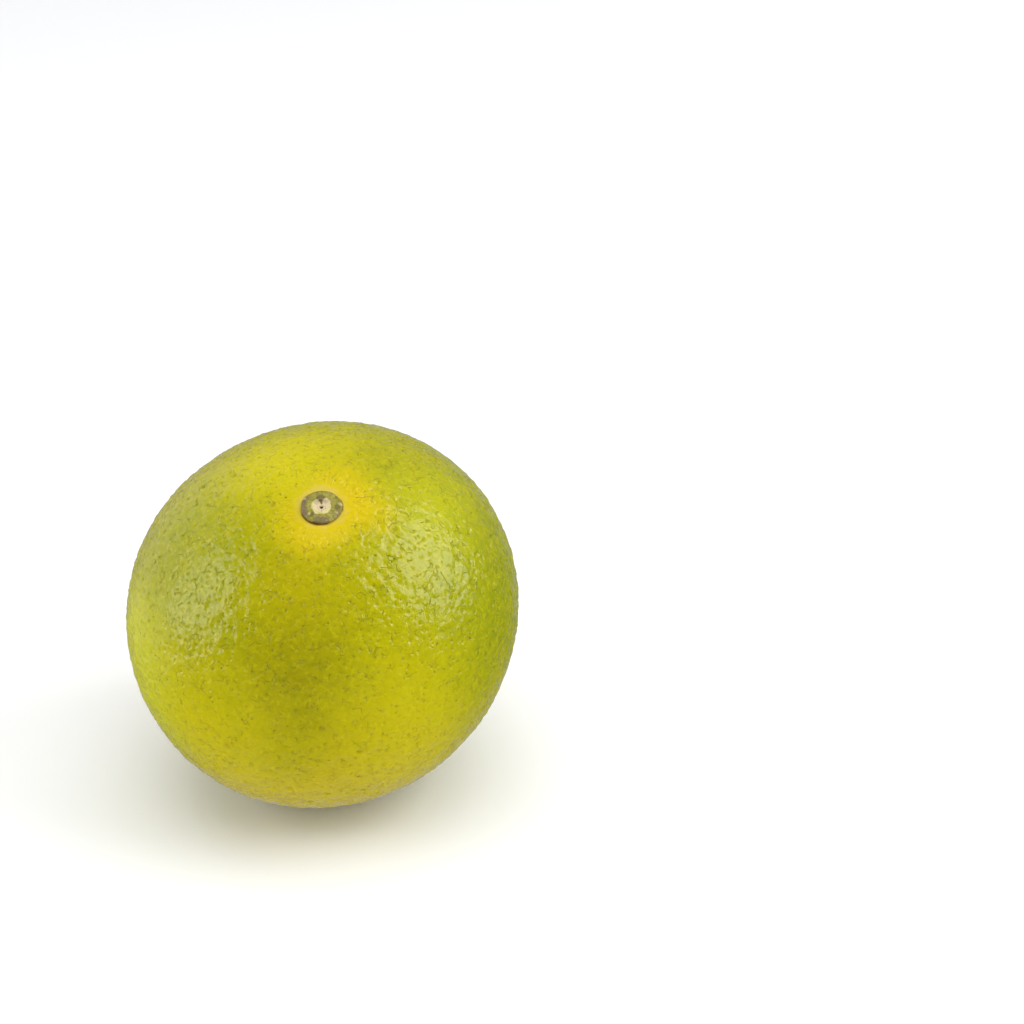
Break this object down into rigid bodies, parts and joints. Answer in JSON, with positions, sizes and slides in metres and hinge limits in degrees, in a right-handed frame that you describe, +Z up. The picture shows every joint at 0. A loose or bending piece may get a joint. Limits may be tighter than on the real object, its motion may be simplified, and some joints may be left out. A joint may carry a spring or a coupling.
{
  "type": "sweet lime",
  "caption": "Whole round sweet lime with pebbled green-yellow rind and a calyx button at its stem end, lying on a small flat spot.",
  "frame": {"origin": "middle of the bounding box's underside, on the surface that the fruit rests on", "axes": "+Z up, with the flat spot facing -Z; the stem end leans 24 degrees from +Z towards -Y, the front"},
  "size_m": [0.075, 0.0738, 0.0726],
  "materials": {
    "rind": "waxy leathery rind, satin, pitted by oil glands",
    "calyx": "dry and matt"
  },
  "bodies": {
    "root": {"fruit": "rind", "calyx": "calyx"}
  },
  "joints": []
}
